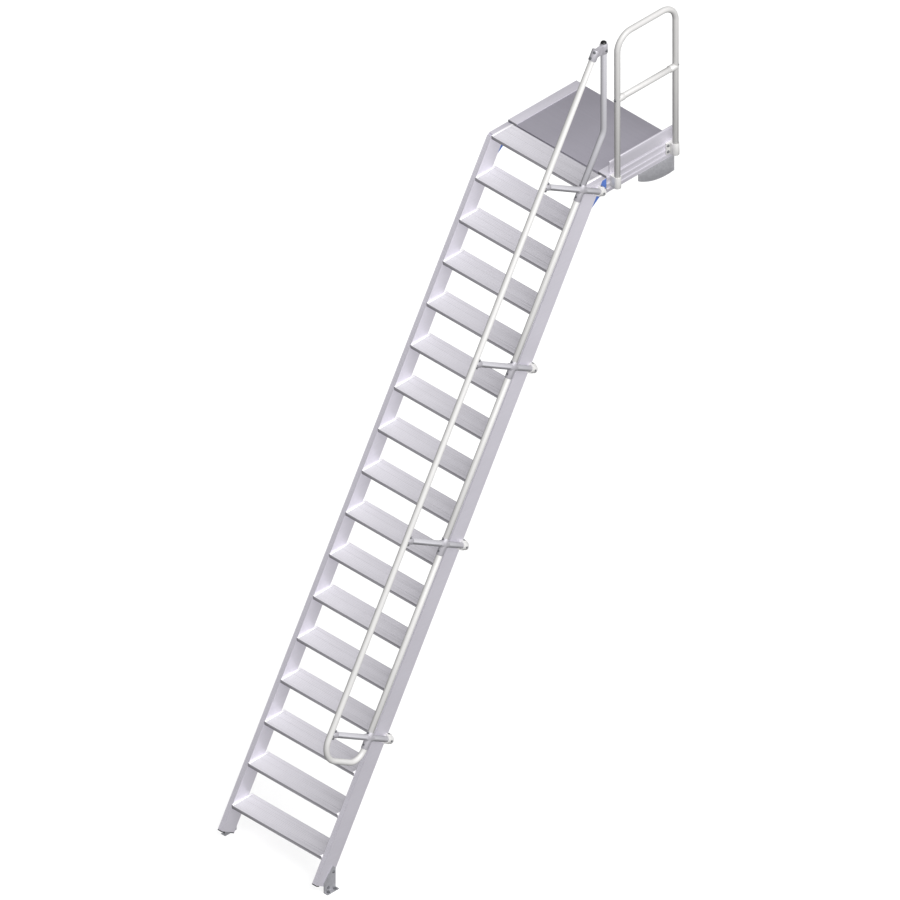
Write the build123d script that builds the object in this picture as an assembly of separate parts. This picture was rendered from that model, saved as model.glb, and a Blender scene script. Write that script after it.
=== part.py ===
from build123d import *
from math import cos, radians, sin, tan
import os

# Platform stair in aluminium, 60 degrees, fixed to a wall behind its platform.
# Modelled with X to the climber's right, Y towards the wall and Z up from the floor, with Y = 0 at the first nosing.
# At the end everything is moved so that the origin lies on the rear beam's flat face, which meets the wall.

# Flight
pitch = 60                     # slope of the flight, in degrees from the floor
rise = 250                     # from the top of one tread to the next
tread_count = 17
tread_length = 800             # also the clear width between the stringers
tread_depth = 182
tread_height = 25              # height of the nosing face
tread_skin = 2.5
tread_web_count = 3            # upright webs inside the hollow tread
rib_pitch = 13
rib_width = 5
rib_height = 1.6
lip_width = 15                 # smooth end plate folded over each end of a tread
lip_height = 2.4
nosing_stand = 7               # how far a nosing stands in front of the stringers

# Stringers
stringer_thickness = 38
stringer_depth = 125
stringer_wall = 2.6
stringer_groove_count = 3
stringer_groove_width = 2.4
stringer_groove_depth = 1.2
foot_cut_drop = 182            # from the first nosing down the slope to the square-cut end
top_chamfer = 12
top_cap_thickness = 3
top_cap_edge = 0.3             # the cap stops this far inside the stringer's outline

# Plugs in the stringers' lower ends
plug_length = 30
plug_clearance = 0.15
plug_pad_length = 30
plug_pad_height = 6

# Foot brackets, an angle with its plate on the stringer's outer face
foot_plate_thickness = 5
foot_plate_front = 20          # in front of the first nosing's line
foot_plate_back = 82           # behind it
foot_front_height = 80
foot_top_back = 60             # the plate's highest corner, behind the first nosing's line
foot_top_height = 175
foot_back_height = 148
foot_flange_width = 36         # out from the stringer's face
foot_hole_radius = 5.5
foot_hole_inset = 22           # from each end of the flange

# Platform
platform_gap = 3               # between the top tread and the platform
platform_depth = 606
platform_rise = 14             # from the top tread up to the side beams' flanges
beam_height = 132
beam_width = 77
beam_wall = 3
beam_bead_heights = (25, 64, 113)   # middles of the lengthwise beads, up from the beam's lower edge
beam_bead_width = 15
beam_bead_height = 2
ledge_width = 14               # inner ledge that the deck rests on
ledge_thickness = 3
beam_cap_thickness = 3
deck_height = 16
deck_drop = 3                  # from the flanges down to the deck's top
deck_skin = 3
deck_web_count = 11
deck_side_gap = 0.3
cross_beam_width = 40
cross_beam_height = 80
cross_beam_wall = 3
toe_board_thickness = 8
toe_board_height = 95
toe_board_front_gap = 30
toe_board_back_gap = 10
toe_board_bead_height = 24
toe_board_bead_depth = 3
toe_board_inset = 3            # behind the beam's outer face

# Wall brackets under the back of the side beams
bracket_length = 317
bracket_thickness = 6
bracket_back_drop = 122
bracket_front_drop = 53
bracket_curve_radius = 465
bracket_flange_width = 50
bracket_inset = 1              # behind the beam's outer face
bracket_hole_radius = 6.5
bracket_hole_inset = 30

# Plastic joint pieces between each stringer's top end and the platform
wedge_low_drop = 165           # its lowest point, below the top tread
wedge_back_drop = 70           # its lower back corner, below the top tread
wedge_gap = 0.3

# Rails
rail_radius = 20
rail_standoff = 0.2            # between the arms and the stringer's outer face
knee_rail_out = 73             # from the nosing line, square to the slope
handrail_out = 462
bend_low_end = 668             # middle line of the lower bend, up the slope from the first nosing
bend_radius = 140              # from the handrail into the bend's level run
return_bend_radius = 95        # from there back to the knee rail's line
first_arm_up = 845
first_bay = 1337
upper_bay = 1221
arm_count = 4
arm_tail = 152                 # behind the nosing line, square to the slope
fitting_wall = 3
fitting_gap = 0.2              # between a fitting and the tube in it
cross_below = 76
cross_above = 40
cross_arm_half = 36
tube_end_gap = 0.3             # between a tube's end and the tube that it meets in a fitting
saddle_length = 34
saddle_half_height = 33
saddle_half_width = 13
saddle_seat = 6                # how far the saddle wraps the handrail past its back
arm_end_wall = 7
arm_end_length = 52
arm_end_hook_length = 44
arm_end_hook_width = 64
arm_end_bevel = 6

# Upper post, bent from the knee rail's line to upright
post_bend_up = 5026
post_bend_radius = 130
post_top_height = 1074         # above the top tread
post_cap_height = 11
post_cap_slope = 6             # height of the bevel round the cap's top
handrail_top_up = 5564
joint_sleeve_length = 74
joint_wall = 6
joint_collar_height = 60
joint_collar_drop = 12
joint_lug_width = 24
joint_cap = 4

# Platform railing on the right side
guard_out = 42                 # from the beam's outer face to the legs' middle line
guard_front_back = 55          # from the platform's front to the front leg
guard_rear_front = 33          # from the wall to the rear leg
guard_top_height = 1066        # of the top rail's middle line, above the flanges
guard_mid_height = 585
guard_bend_radius = 120
guard_leg_drop = 86            # below the flanges
clamp_height = 86
clamp_drop = 91                # from the flanges down to the clamp's lower edge
clamp_wall = 5
clamp_wing = 26
clamp_wing_thickness = 14
socket_length = 34
socket_wall = 3.5
socket_seat = 2                # wall between a leg and the mid rail's end
leg_plug_flange = 3

# Worked out from the sizes above
slope = radians(pitch)
going = rise / tan(slope)
half_width = tread_length / 2 + stringer_thickness
top_nosing_y = going * (tread_count - 1)
top_tread_z = rise * tread_count
platform_front = top_nosing_y + tread_depth + platform_gap
wall_y = platform_front + platform_depth
flange_z = top_tread_z + platform_rise
beam_low_z = flange_z - beam_height
deck_z = flange_z - deck_drop
deck_low_z = deck_z - deck_height
rail_x = half_width + rail_radius + rail_standoff
cross_floor = rail_radius + fitting_gap + fitting_wall   # from an arm's middle line to a four-way fitting's socket floors
cross_stop = cross_floor + tube_end_gap                  # and to the ends of the tubes in them
arm_ups = [first_arm_up]
for bay in [first_bay] + [upper_bay] * (arm_count - 2):
    arm_ups.append(arm_ups[-1] + bay)

# The slope's own directions, in the YZ plane
up_slope = Vector(0, cos(slope), sin(slope))
out_slope = Vector(0, -sin(slope), cos(slope))
first_nosing = Vector(0, 0, rise)
to_wall_face = Location((0, -wall_y, -(deck_low_z - cross_beam_height / 2)))


def on_slope(x, up, out):
    """A point at X, so far up the slope from the first nosing and so far out from the nosing line."""
    return first_nosing + Vector(x, 0, 0) + up_slope * up + out_slope * out


def across_slope(up):
    """The plane square to the slope, with its x to the right and its y away from the climber."""
    return Plane(origin=on_slope(0, up, 0), x_dir=(1, 0, 0), z_dir=up_slope)


def side_plane(x):
    """An upright plane facing right, with its x towards the wall and its y up."""
    return Plane(origin=(x, 0, 0), x_dir=(0, 1, 0), z_dir=(1, 0, 0))


def outline(points):
    return make_face(Polyline(*points, close=True))


def slab(points, x_low, x_high):
    """A solid whose outline, given as (y, z) points, runs from one X to the other."""
    return extrude(side_plane(x_low) * outline(points), x_high - x_low)


def box(low, high):
    size = [b - a for a, b in zip(low, high)]
    return Pos(*low) * Box(*size, align=(Align.MIN, Align.MIN, Align.MIN))


def round_bar(start, end, radius):
    start = Vector(*start) if isinstance(start, tuple) else start
    end = Vector(*end) if isinstance(end, tuple) else end
    along = end - start
    return extrude(Plane(origin=start, z_dir=along.normalized()) * Circle(radius), along.length)


def bent_bar(points, bends, radius):
    """A round bar along straight runs, with an arc at each corner and a bend radius for each arc."""
    stops = [points[0]] + [(a + b) / 2 for a, b in zip(points[1:-2], points[2:-1])] + [points[-1]]
    edges = []
    for start, corner, end, bend in zip(stops[:-1], points[1:-1], stops[1:], bends):
        edges += FilletPolyline(start, corner, end, radius=bend).edges()
    path = Wire(edges)
    return sweep(path.location_at(0) * Circle(radius), path=path)


def mirrored(shape):
    return mirror(shape, about=Plane.YZ)


def tread(number):
    """Hollow ribbed tread with a smooth plate folded over each end."""
    front = going * (number - 1)
    top = rise * number
    back = front + tread_depth
    half = tread_length / 2
    body = box((-half, front, top - tread_height), (half, back, top))
    cell = (tread_depth - tread_skin * (tread_web_count + 2)) / (tread_web_count + 1)
    for i in range(tread_web_count + 1):
        y = front + tread_skin + i * (cell + tread_skin)
        body -= box((-half, y, top - tread_height + tread_skin), (half, y + cell, top - tread_skin))
    rib_half = half - lip_width
    rib_count = int((tread_depth - rib_width) // rib_pitch) + 1
    first = front + (tread_depth - (rib_count - 1) * rib_pitch) / 2
    for i in range(rib_count):
        y = first + i * rib_pitch
        points = [(y - rib_width / 2, top), (y + rib_width / 2, top), (y, top + rib_height)]
        body += slab(points, -rib_half, rib_half)
    for side in (-1, 1):
        inner = side * (half - lip_width)
        outer = side * half
        body += box((min(inner, outer), front, top), (max(inner, outer), back, top + lip_height))
        closing = side * (half - tread_skin)
        low = min(closing, outer)
        high = max(closing, outer)
        body += box((low, front, top - tread_height), (high, back, top))
    return body


def stringer_outline():
    """Section of the right stringer, with its y away from the climber from the nosing line."""
    inner = tread_length / 2
    outer = half_width
    front = nosing_stand
    back = nosing_stand + stringer_depth
    face = Pos((inner + outer) / 2, (front + back) / 2) * Rectangle(stringer_thickness, stringer_depth)
    pitch_across = stringer_thickness / (stringer_groove_count + 1)
    for i in range(stringer_groove_count):
        x = inner + pitch_across * (i + 1)
        face -= Pos(x, front) * Rectangle(stringer_groove_width, 2 * stringer_groove_depth)
    hollow_width = stringer_thickness - 2 * stringer_wall
    hollow_depth = stringer_depth - 2 * stringer_wall - stringer_groove_depth
    middle = (front + stringer_groove_depth + back) / 2
    return face - Pos((inner + outer) / 2, middle) * Rectangle(hollow_width, hollow_depth)


def front_face_y(z):
    """Where the stringers' front face lies at a height."""
    return (z - rise) / tan(slope) + nosing_stand / sin(slope)


def back_face_y(z):
    return (z - rise) / tan(slope) + (nosing_stand + stringer_depth) / sin(slope)


def stringer_right():
    run = (top_tread_z - rise) / sin(slope) + 2 * stringer_depth
    bar = extrude(across_slope(-foot_cut_drop) * stringer_outline(), foot_cut_drop + run)
    z = top_tread_z - top_cap_thickness
    low_y = front_face_y(z - top_chamfer)
    tip = [
        (low_y - stringer_depth, z - top_chamfer),
        (low_y, z - top_chamfer),
        (front_face_y(z) + top_chamfer, z),
        (front_face_y(z) + top_chamfer, z + stringer_depth),
        (low_y - stringer_depth, z + stringer_depth),
    ]
    reach = 4 * stringer_depth
    above = box((0, low_y - reach, z), (half_width + reach, low_y + reach, z + reach))
    return bar - above - slab(tip, 0, half_width + reach)


def stringer_top_cap():
    """Flat cap on the right stringer's level top end and on the plastic joint piece behind it."""
    z = top_tread_z - top_cap_thickness
    front = front_face_y(z) + top_chamfer
    back = platform_front - platform_gap
    inner = tread_length / 2 + top_cap_edge
    outer = half_width - top_cap_edge
    return box((inner, front, z), (outer, back, top_tread_z))


def stringer_plug():
    """Plug in the right stringer's lower end, with a pad below each edge."""
    hollow_width = stringer_thickness - 2 * stringer_wall - 2 * plug_clearance
    hollow_depth = stringer_depth - 2 * stringer_wall - stringer_groove_depth - 2 * plug_clearance
    front = nosing_stand
    back = nosing_stand + stringer_depth
    x = (tread_length / 2 + half_width) / 2
    middle = (front + stringer_groove_depth + back) / 2
    core = Pos(x, middle) * Rectangle(hollow_width, hollow_depth)
    body = extrude(across_slope(-foot_cut_drop) * core, plug_length)
    for y in (front + plug_pad_length / 2, back - plug_pad_length / 2):
        pad = Pos(x, y) * Rectangle(stringer_thickness, plug_pad_length)
        body += extrude(across_slope(-foot_cut_drop) * pad, -plug_pad_height)
    return body


def foot_bracket():
    """Steel angle on the right stringer's outer face, with two holes in its floor flange."""
    inner = half_width
    outer = half_width + foot_plate_thickness
    plate = slab(
        [
            (-foot_plate_front, 0),
            (-foot_plate_front, foot_front_height),
            (foot_top_back, foot_top_height),
            (foot_plate_back, foot_back_height),
            (foot_plate_back, 0),
        ],
        inner,
        outer,
    )
    tip = half_width + foot_flange_width
    flange = box((inner, -foot_plate_front, 0), (tip, foot_plate_back, foot_plate_thickness))
    body = plate + flange
    for x, y in foot_hole_places():
        body -= Pos(x, y, foot_plate_thickness / 2) * Cylinder(foot_hole_radius, 2 * foot_plate_thickness)
    return body


def foot_hole_places():
    x = half_width + (foot_plate_thickness + foot_flange_width) / 2
    return [(x, -foot_plate_front + foot_hole_inset), (x, foot_plate_back - foot_hole_inset)]


def beam_outline():
    """Section of the right side beam, with its x to the right and its y up."""
    outer = half_width
    inner = half_width - beam_width
    middle = (inner + outer) / 2
    face = Pos(middle, beam_low_z + beam_height / 2) * Rectangle(beam_width, beam_height)
    cell = Rectangle(beam_width - 2 * beam_wall - beam_bead_height, beam_height - 2 * beam_wall)
    face -= Pos(middle - beam_bead_height / 2, beam_low_z + beam_height / 2) * cell
    edges = [0] + [h for h in beam_bead_heights] + [beam_height]
    for low, high in zip(edges[:-1], edges[1:]):
        start = low + (beam_bead_width / 2 if low else 0)
        end = high - (beam_bead_width / 2 if high < beam_height else 0)
        recess = Rectangle(2 * beam_bead_height, end - start)
        face -= Pos(outer, beam_low_z + (start + end) / 2) * recess
    ledge = Rectangle(ledge_width, ledge_thickness)
    return face + Pos(inner - ledge_width / 2, deck_low_z - ledge_thickness / 2) * ledge


def side_beam():
    section = Plane(origin=(0, wall_y - beam_cap_thickness, 0), x_dir=(1, 0, 0), z_dir=(0, -1, 0))
    return extrude(section * beam_outline(), platform_depth - 2 * beam_cap_thickness)


def beam_caps():
    """The flat caps on both ends of the right side beam."""
    caps = []
    for y in (platform_front, wall_y - beam_cap_thickness):
        low = (half_width - beam_width, y, beam_low_z)
        caps.append(box(low, (half_width - beam_bead_height, y + beam_cap_thickness, flange_z)))
    return caps


def deck():
    """Deck panel with a thin skin on cross webs, closed at the front and the back."""
    half = half_width - beam_width - deck_side_gap
    body = box((-half, platform_front, deck_low_z), (half, wall_y, deck_z))
    cell = (platform_depth - deck_skin * (deck_web_count + 2)) / (deck_web_count + 1)
    for i in range(deck_web_count + 1):
        y = platform_front + deck_skin + i * (cell + deck_skin)
        body -= box((-half, y, deck_low_z), (half, y + cell, deck_z - deck_skin))
    return body


def cross_beam(y_low):
    """Box beam between the side beams, under the deck."""
    half = half_width - beam_width
    high = deck_low_z
    low = high - cross_beam_height
    body = box((-half, y_low, low), (half, y_low + cross_beam_width, high))
    w = cross_beam_wall
    body -= box((-half, y_low + w, low + w), (half, y_low + cross_beam_width - w, high - w))
    return body - ledge_space()


def ledge_space():
    """Room for the side beams' ledges."""
    inner = half_width - beam_width
    low_z = deck_low_z - ledge_thickness
    right = box((inner - ledge_width, platform_front, low_z), (inner, wall_y, deck_low_z))
    return right + mirrored(right)


def toe_board():
    """Upright board on the right beam's flange, with a thicker upper edge."""
    outer = half_width - toe_board_inset
    inner = outer - toe_board_thickness
    y_low = platform_front + toe_board_front_gap
    y_high = wall_y - toe_board_back_gap
    top = flange_z + toe_board_height
    body = box((inner, y_low, flange_z), (outer, y_high, top))
    bead_low = top - toe_board_bead_height
    face = outline(
        [
            (outer, bead_low - toe_board_bead_depth),
            (outer + toe_board_bead_depth, bead_low),
            (outer + toe_board_bead_depth, top - toe_board_bead_depth),
            (outer, top),
        ]
    )
    section = Plane(origin=(0, y_high, 0), x_dir=(1, 0, 0), z_dir=(0, -1, 0))
    return body + extrude(section * face, y_high - y_low)


def wall_bracket():
    """Bracket under the back of the right beam: an upright plate, a top flange and a flange on the wall."""
    outer = half_width - bracket_inset
    inner = outer - bracket_thickness
    back = wall_y
    front = wall_y - bracket_length
    top = beam_low_z
    back_low = (back, top - bracket_back_drop)
    front_low = (front, top - bracket_front_drop)
    edge = RadiusArc(back_low, front_low, bracket_curve_radius)
    sides = Polyline(front_low, (front, top), (back, top), back_low)
    plate = extrude(side_plane(inner) * make_face([edge, sides]), bracket_thickness)
    far = outer - bracket_flange_width
    t = bracket_thickness
    top_flange = box((far, front, top - t), (outer, back, top))
    wall_flange = box((far, back - t, top - bracket_back_drop), (outer, back, top))
    body = plate + top_flange + wall_flange
    for x, z in wall_hole_places():
        hole = Cylinder(bracket_hole_radius, 4 * t, rotation=(90, 0, 0))
        body -= Pos(x, back - t / 2, z) * hole
    return body


def wall_hole_places():
    outer = half_width - bracket_inset - bracket_thickness
    x = (outer + half_width - bracket_inset - bracket_flange_width) / 2
    low = beam_low_z - bracket_back_drop
    return [(x, low + bracket_hole_inset), (x, beam_low_z - bracket_hole_inset)]


def joint_wedge():
    """Plastic piece between the right stringer's sloped back and the platform's front."""
    high = top_tread_z - top_cap_thickness
    low = top_tread_z - wedge_low_drop
    back = platform_front - wedge_gap
    shift = wedge_gap / sin(slope)
    points = [
        (back_face_y(low) + shift, low),
        (back, top_tread_z - wedge_back_drop),
        (back, high),
        (back_face_y(high) + shift, high),
    ]
    return slab(points, tread_length / 2, half_width)


def handrail():
    """The upper rail with the bend at its lower end, which returns to the knee rail's line."""
    low = bend_low_end
    end = first_arm_up - cross_stop
    points = [
        on_slope(rail_x, handrail_top_up, handrail_out),
        on_slope(rail_x, low, handrail_out),
        on_slope(rail_x, low, knee_rail_out),
        on_slope(rail_x, end, knee_rail_out),
    ]
    return bent_bar(points, (bend_radius, return_bend_radius), rail_radius)


def knee_rail():
    """The knee rail's runs between the arms."""
    runs = []
    for low, high in zip(arm_ups[:-1], arm_ups[1:]):
        start = on_slope(rail_x, low + cross_stop, knee_rail_out)
        end = on_slope(rail_x, high - cross_stop, knee_rail_out)
        runs.append(round_bar(start, end, rail_radius))
    return runs


def arm(up):
    """Arm square to the slope, along the stringer's outer face and out to the handrail's back."""
    start = on_slope(rail_x, up, -arm_tail)
    end = on_slope(rail_x, up, handrail_out)
    bar = round_bar(start, end, rail_radius)
    return bar - handrail_space(up, rail_radius + tube_end_gap)


def handrail_space(up, radius):
    low = on_slope(rail_x, up - 3 * cross_below, handrail_out)
    high = on_slope(rail_x, up + 3 * cross_below, handrail_out)
    return round_bar(low, high, radius)


def cross_fitting(up):
    """Four-way fitting where an arm passes through and the knee rail ends in a socket on each side."""
    bore = rail_radius + fitting_gap
    low = on_slope(rail_x, up - cross_below, knee_rail_out)
    high = on_slope(rail_x, up + cross_above, knee_rail_out)
    near = on_slope(rail_x, up, knee_rail_out - cross_arm_half)
    far = on_slope(rail_x, up, knee_rail_out + cross_arm_half)
    body = round_bar(low, high, cross_floor) + round_bar(near, far, cross_floor)
    body -= round_bar(near, far, bore)
    body -= round_bar(low, on_slope(rail_x, up - cross_floor, knee_rail_out), bore)
    return body - round_bar(on_slope(rail_x, up + cross_floor, knee_rail_out), high, bore)


def saddle(up):
    """Saddle between an arm's end and the handrail, with a lug above and below."""
    back = handrail_out - rail_radius - saddle_length
    front = handrail_out - rail_radius + saddle_seat
    outer = rail_radius + fitting_gap + fitting_wall
    low = on_slope(rail_x, up, back)
    high = on_slope(rail_x, up, front)
    body = round_bar(low, high, outer)
    lug_plane = Plane(origin=on_slope(rail_x, up, handrail_out - rail_radius - saddle_length / 2),
                      x_dir=(1, 0, 0), z_dir=out_slope)
    lug = lug_plane * Rectangle(2 * saddle_half_width, 2 * saddle_half_height)
    body += extrude(lug, saddle_length / 2 + saddle_seat)
    body -= round_bar(low, high, rail_radius + fitting_gap)
    return body - handrail_space(up, rail_radius + fitting_gap)


def arm_end_form(up, room):
    """Outer form of an arm's cast end, with the block that hooks behind the stringer, grown by a room all round."""
    outer = rail_radius + fitting_gap + arm_end_wall + room
    tip = -(arm_tail + tube_end_gap + arm_end_wall + room)
    barrel = round_bar(on_slope(rail_x, up, tip), on_slope(rail_x, up, tip + arm_end_length + 2 * room), outer)
    rim = barrel.edges().filter_by(GeomType.CIRCLE).sort_by(Axis(on_slope(rail_x, up, tip), out_slope))[0]
    barrel = chamfer(rim, arm_end_bevel)
    hook_start = -tip - arm_end_length - 2 * room
    hook_reach = arm_end_length + 2 * room - arm_end_bevel
    section = Pos(rail_x, hook_start) * Rectangle(
        arm_end_hook_length + room, hook_reach, align=(Align.MAX, Align.MIN))
    half_hook = arm_end_hook_width / 2 + room
    return barrel + extrude(across_slope(up - half_hook) * section, 2 * half_hook)


def arm_end(up):
    """Cast end on an arm, bored for the arm and cut to bear on the stringer's back and outer face."""
    body = arm_end_form(up, 0)
    mouth = on_slope(rail_x, up, arm_end_length)
    body -= round_bar(on_slope(rail_x, up, -arm_tail - tube_end_gap), mouth, rail_radius + fitting_gap)
    depth = nosing_stand + stringer_depth + fitting_gap
    stringer_room = Pos(half_width, 0) * Rectangle(half_width, depth, align=(Align.MAX, Align.MIN))
    return body - extrude(across_slope(up - arm_end_length) * stringer_room, 2 * arm_end_length)


def top_post():
    """Post in the knee rail's line above the last arm, bent to stand upright beside the platform."""
    bend = on_slope(rail_x, post_bend_up, knee_rail_out)
    points = [
        on_slope(rail_x, arm_ups[-1] + cross_stop, knee_rail_out),
        bend,
        Vector(bend.X, bend.Y, top_tread_z + post_top_height),
    ]
    return bent_bar(points, (post_bend_radius,), rail_radius)


def top_post_cap():
    y = on_slope(rail_x, post_bend_up, knee_rail_out).Y
    z = top_tread_z + post_top_height
    cap = round_bar((rail_x, y, z), (rail_x, y, z + post_cap_height), rail_radius)
    rim = cap.edges().filter_by(GeomType.CIRCLE).sort_by(Axis.Z)[-1]
    return chamfer(rim, post_cap_slope)


def post_joint():
    """Fitting that holds the handrail's upper end beside the post's top."""
    outer = rail_radius + fitting_gap + joint_wall
    bore = rail_radius + fitting_gap
    low = on_slope(rail_x, handrail_top_up - joint_sleeve_length + joint_cap, handrail_out)
    rail_end = on_slope(rail_x, handrail_top_up + tube_end_gap, handrail_out)
    high = on_slope(rail_x, handrail_top_up + joint_cap, handrail_out)
    post_y = on_slope(rail_x, post_bend_up, knee_rail_out).Y
    collar_top = top_tread_z + post_top_height - joint_collar_drop
    collar_low = Vector(rail_x, post_y, collar_top - joint_collar_height)
    collar_high = Vector(rail_x, post_y, collar_top)
    body = round_bar(low, high, outer) + round_bar(collar_low, collar_high, outer)
    lug = slab(
        [
            (on_slope(0, handrail_top_up - joint_collar_height, handrail_out).Y,
             on_slope(0, handrail_top_up - joint_collar_height, handrail_out).Z),
            (high.Y, high.Z),
            (post_y, collar_top),
            (post_y, collar_top - joint_collar_height),
        ],
        rail_x - joint_lug_width / 2,
        rail_x + joint_lug_width / 2,
    )
    body += lug
    body -= round_bar(low, rail_end, bore)
    reach = Vector(0, 0, joint_collar_height)
    return body - round_bar(collar_low - reach, collar_high + reach, bore)


def guard_places():
    """X of the railing, and Y of its two legs."""
    return half_width + guard_out, platform_front + guard_front_back, wall_y - guard_rear_front


def platform_rail():
    x, front, rear = guard_places()
    low = flange_z - guard_leg_drop
    high = flange_z + guard_top_height
    points = [Vector(x, front, low), Vector(x, front, high), Vector(x, rear, high), Vector(x, rear, low)]
    return bent_bar(points, (guard_bend_radius, guard_bend_radius), rail_radius)


def mid_rail():
    x, front, rear = guard_places()
    z = flange_z + guard_mid_height
    gap = rail_radius + fitting_gap + socket_seat + tube_end_gap
    return round_bar((x, front + gap, z), (x, rear - gap, z), rail_radius)


def mid_rail_sockets():
    """Sleeves that carry the mid rail's ends, seated on the legs."""
    x, front, rear = guard_places()
    z = flange_z + guard_mid_height
    outer = rail_radius + fitting_gap + socket_wall
    bore = rail_radius + fitting_gap
    sockets = []
    for leg, way in ((front, 1), (rear, -1)):
        seat = leg + way * (bore + socket_seat)
        reach = leg + way * (rail_radius + socket_length)
        body = round_bar((x, leg, z), (x, reach, z), outer)
        body -= round_bar((x, seat, z), (x, reach, z), bore)
        body -= round_bar((x, leg, z - 2 * outer), (x, leg, z + 2 * outer), bore)
        sockets.append(body)
    return sockets


def rail_clamp(leg, way):
    """Clamp block round a leg's foot, with a wing that is bolted to the beam's face."""
    x = half_width + guard_out
    low = flange_z - clamp_drop
    high = low + clamp_height
    outer = rail_radius + fitting_gap + clamp_wall
    ring = round_bar((x, leg, low), (x, leg, high), outer)
    block = box((half_width, leg - outer, low), (x, leg + outer, high))
    tip = leg + way * (outer + clamp_wing)
    near = min(leg, tip)
    wing = box((half_width, near, low), (half_width + clamp_wing_thickness, max(leg, tip), high))
    return ring + block + wing - round_bar((x, leg, low), (x, leg, high), rail_radius + fitting_gap)


def leg_plug(leg):
    """Plug that closes a leg's open lower end."""
    x = half_width + guard_out
    low = flange_z - guard_leg_drop
    return round_bar((x, leg, low - leg_plug_flange), (x, leg, low), rail_radius)


def write(name, shapes):
    """Moves a node's solids so that the origin lies on the wall face, and writes them to one file."""
    if not isinstance(shapes, list):
        shapes = [shapes]
    solids = [to_wall_face * solid for shape in shapes for solid in shape.solids()]
    node = solids[0] if len(solids) == 1 else Compound(children=solids)
    export_step(node, "parts/" + name + ".step")


os.makedirs("parts", exist_ok=True)

for number in range(1, tread_count + 1):
    write(f"tread_{number:02d}", tread(number))

right_stringer = stringer_right()
write("stringer_right", right_stringer)
write("stringer_left", mirrored(right_stringer))
write("stringer_top_caps", [stringer_top_cap(), mirrored(stringer_top_cap())])
write("stringer_foot_plugs", [stringer_plug(), mirrored(stringer_plug())])

write("foot_bracket_right", foot_bracket())
write("foot_bracket_left", mirrored(foot_bracket()))

write("side_beam_right", side_beam())
write("side_beam_left", mirrored(side_beam()))
write("side_beam_caps", beam_caps() + [mirrored(cap) for cap in beam_caps()])
write("front_beam", cross_beam(platform_front))
write("rear_beam", cross_beam(wall_y - cross_beam_width))
write("deck", deck())
write("toe_board", toe_board())
write("wall_bracket_right", wall_bracket())
write("wall_bracket_left", mirrored(wall_bracket()))
write("joint_wedge_right", joint_wedge() - arm_end_form(arm_ups[-1], fitting_gap))
write("joint_wedge_left", mirrored(joint_wedge()))

write("handrail", handrail())
write("knee_rail", knee_rail())
for number, up in enumerate(arm_ups, 1):
    write(f"rail_arm_{number}", arm(up))
write("cross_fittings", [cross_fitting(up) for up in arm_ups])
write("handrail_saddles", [saddle(up) for up in arm_ups])
write("arm_ends", [arm_end(up) for up in arm_ups])
write("top_post", top_post())
write("top_post_cap", top_post_cap())
write("post_joint", post_joint())

_, front_leg, rear_leg = guard_places()
write("platform_rail", platform_rail())
write("mid_rail", mid_rail())
write("mid_rail_sockets", mid_rail_sockets())
write("rail_clamp_front", rail_clamp(front_leg, 1))
write("rail_clamp_rear", rail_clamp(rear_leg, -1))
write("rail_leg_plugs", [leg_plug(front_leg), leg_plug(rear_leg)])
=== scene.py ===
from math import cos, radians, sin

import bmesh
import bpy
from bpy.props import FloatProperty, FloatVectorProperty, PointerProperty
from mathutils import Matrix, Vector


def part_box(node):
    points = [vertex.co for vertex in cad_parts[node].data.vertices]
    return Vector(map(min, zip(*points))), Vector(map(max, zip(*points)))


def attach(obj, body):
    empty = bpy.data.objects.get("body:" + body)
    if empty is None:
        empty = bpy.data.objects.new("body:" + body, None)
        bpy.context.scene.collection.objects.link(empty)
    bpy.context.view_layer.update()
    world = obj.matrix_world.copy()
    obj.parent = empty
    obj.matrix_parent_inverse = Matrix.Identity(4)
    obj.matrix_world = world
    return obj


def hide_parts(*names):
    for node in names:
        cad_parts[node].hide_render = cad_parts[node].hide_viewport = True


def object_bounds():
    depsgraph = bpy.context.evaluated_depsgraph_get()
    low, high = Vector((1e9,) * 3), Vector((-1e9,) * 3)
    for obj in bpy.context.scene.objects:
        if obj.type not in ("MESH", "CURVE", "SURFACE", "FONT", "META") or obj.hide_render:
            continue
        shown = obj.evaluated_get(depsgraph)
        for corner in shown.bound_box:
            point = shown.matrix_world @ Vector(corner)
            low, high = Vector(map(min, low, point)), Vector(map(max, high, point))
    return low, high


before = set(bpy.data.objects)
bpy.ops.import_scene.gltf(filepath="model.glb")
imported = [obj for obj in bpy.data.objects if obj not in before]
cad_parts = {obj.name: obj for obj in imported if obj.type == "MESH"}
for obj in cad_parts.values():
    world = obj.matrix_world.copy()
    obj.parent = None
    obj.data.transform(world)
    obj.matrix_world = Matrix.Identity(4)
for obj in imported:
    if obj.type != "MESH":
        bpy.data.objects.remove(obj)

bl_info = {
    "name": "Platform stair",
    "version": (1, 0, 0),
    "blender": (4, 5, 0),
    "location": "3D View > Sidebar > Platform stair",
    "description": "Finishes, eased edges, bolts and a studio for a steep aluminium platform stair",
    "category": "Object",
}

BODY = "root"
CAD_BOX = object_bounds()
TREADS = sorted(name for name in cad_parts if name.startswith("tread_"))
ARMS = sorted(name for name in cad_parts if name.startswith("rail_arm_"))
# Each side of the stair, with its sign along X
SIDES = (("right", 1), ("left", -1))

# Directions of the flight, from the places of two treads next to each other
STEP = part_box(TREADS[1])[0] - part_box(TREADS[0])[0]
UP_SLOPE = Vector((0, STEP.y, STEP.z)).normalized()
OUT_SLOPE = Vector((0, -UP_SLOPE.z, UP_SLOPE.y))
RIGHT = Vector((1, 0, 0))
TO_WALL = Vector((0, 1, 0))
UPWARDS = Vector((0, 0, 1))

# A copy's vertices nearer than this become one
MERGE_DISTANCE = 0.00002
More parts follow.
